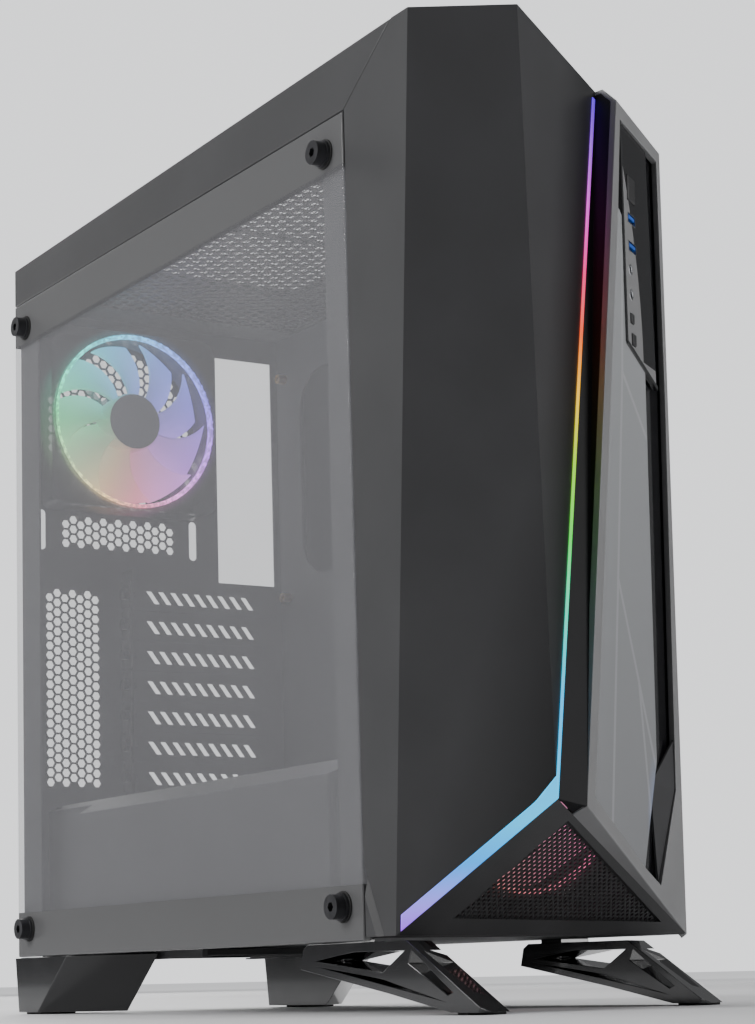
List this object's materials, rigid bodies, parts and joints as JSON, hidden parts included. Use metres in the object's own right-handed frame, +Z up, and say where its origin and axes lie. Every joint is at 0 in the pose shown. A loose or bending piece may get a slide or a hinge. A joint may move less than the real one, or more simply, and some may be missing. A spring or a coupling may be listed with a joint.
{
  "type": "desktop computer tower",
  "caption": "Desktop computer tower: steel case with a smoked glass side, faceted front with a rainbow light strip, lit rear fan, connector strip and raked feet.",
  "frame": {"origin": "on the floor, under the middle of the bounding box", "axes": "+Z up, front towards -Y, glass side towards -X"},
  "size_m": [0.232, 0.516, 0.497],
  "materials": {
    "black_steel": "fine textured black powder coat on steel sheet",
    "dark_shell": "satin dark grey moulded shell and painted panel",
    "grey_frame": "satin mid grey moulded frame",
    "gloss_black": "polished black plastic",
    "moulded_black": "matt black moulded plastic",
    "fan_plastic": "dark translucent fan frame",
    "frosted_blade": "frosted translucent blades",
    "clear_light_ring": "clear beaded ring lit in a rainbow",
    "light_guide": "frosted light guide lit in a rainbow",
    "smoked_glass": "smoked tempered glass with opaque borders",
    "grey_front_glass": "grey tinted glass",
    "rubber_pad": "black rubber",
    "black_screw": "black oxide steel",
    "brass_standoff": "turned brass",
    "plated_port": "plated steel shells",
    "circuit_board": "dark green board",
    "filter_mesh": "fine black mesh"
  },
  "bodies": {
    "chassis": {"drive_cage": "black_steel", "drive_trays": "moulded_black", "floor_pan": "black_steel", "foot_pads": "rubber_pad", "foot_screws": "black_screw", "front_fan_frame": "fan_plastic", "front_fan_light_ring": "clear_light_ring", "front_fan_screws": "black_screw", "front_flange": "black_steel", "front_frame": "black_steel", "front_left_foot": "gloss_black", "front_right_foot": "gloss_black", "lighting_controller": "moulded_black", "motherboard_standoffs": "brass_standoff", "motherboard_tray": "black_steel", "panel_posts": "black_steel", "psu_shroud": "black_steel", "rear_fan_frame": "fan_plastic", "rear_fan_grille": "black_steel", "rear_fan_light_ring": "clear_light_ring", "rear_fan_screws": "black_screw", "rear_flanges": "black_steel", "rear_left_foot": "gloss_black", "rear_panel": "black_steel", "rear_right_foot": "gloss_black", "rear_vents": "black_steel", "roof_sheet": "black_steel", "slot_cover_screws": "black_screw", "slot_covers": "black_steel", "ssd_brackets": "moulded_black", "top_cover": "dark_shell"},
    "glass_panel": {"glass_side_panel": "smoked_glass", "glass_washers": "rubber_pad"},
    "glass_screws": {"glass_thumbscrews": "black_screw"},
    "right_panel": {"right_side_panel": "dark_shell", "right_panel_thumbscrews": "black_screw"},
    "top_filter": {"top_filter_frame": "moulded_black", "top_filter_mesh": "filter_mesh"},
    "floor_filter": {"psu_filter_frame": "moulded_black", "psu_filter_mesh": "filter_mesh"},
    "front": {"fascia_shell": "dark_shell", "fascia_right_frame": "grey_frame", "accent_wall": "gloss_black", "front_glass": "grey_front_glass", "light_strip": "light_guide", "light_strip_board": "circuit_board", "io_plate": "moulded_black", "io_board": "circuit_board", "usb_ports": "plated_port", "audio_jacks": "plated_port", "channel_liner": "moulded_black", "lower_panel": "moulded_black", "lower_mesh": "filter_mesh", "fascia_clips": "moulded_black"},
    "power_key": {"power_button": "moulded_black"},
    "reset_key": {"reset_button": "moulded_black"},
    "lighting_key": {"lighting_button": "moulded_black"},
    "rear_rotor": {"rear_fan_impeller": "frosted_blade"},
    "front_rotor": {"front_fan_impeller": "frosted_blade"}
  },
  "joints": [
    {"name": "glass_lift_off", "type": "slide", "parent": "chassis", "child": "glass_panel", "axis": [-1, 0, 0], "range_m": [0, 0.06]},
    {"name": "glass_screws_out", "type": "slide", "parent": "glass_panel", "child": "glass_screws", "axis": [-1, 0, 0], "range_m": [0, 0.02]},
    {"name": "right_panel_slide", "type": "slide", "parent": "chassis", "child": "right_panel", "axis": [0, 1, 0], "range_m": [0, 0.02]},
    {"name": "top_filter_lift", "type": "slide", "parent": "chassis", "child": "top_filter", "axis": [0, 0.0173, 0.9999], "range_m": [0, 0.03]},
    {"name": "floor_filter_slide", "type": "slide", "parent": "chassis", "child": "floor_filter", "axis": [0, 1, 0], "range_m": [0, 0.15]},
    {"name": "front_pull_off", "type": "slide", "parent": "chassis", "child": "front", "axis": [0, -1, 0], "range_m": [0, 0.08]},
    {"name": "power_press", "type": "slide", "parent": "front", "child": "power_key", "axis": [-0.5623, 0.8268, 0.0144], "range_m": [0, 0.0012], "stiffness_N_per_m": 300},
    {"name": "reset_press", "type": "slide", "parent": "front", "child": "reset_key", "axis": [-0.5623, 0.8268, 0.0144], "range_m": [0, 0.0012], "stiffness_N_per_m": 300},
    {"name": "lighting_press", "type": "slide", "parent": "front", "child": "lighting_key", "axis": [-0.5623, 0.8268, 0.0144], "range_m": [0, 0.0012], "stiffness_N_per_m": 300},
    {"name": "rear_fan_spin", "type": "hinge", "parent": "chassis", "child": "rear_rotor", "pos_m": [-0.032, 0.2378, 0.389], "axis": [0, -1, 0], "continuous": true},
    {"name": "front_fan_spin", "type": "hinge", "parent": "chassis", "child": "front_rotor", "pos_m": [-0.005, -0.148, 0.118], "axis": [0, -1, 0], "continuous": true}
  ]
}
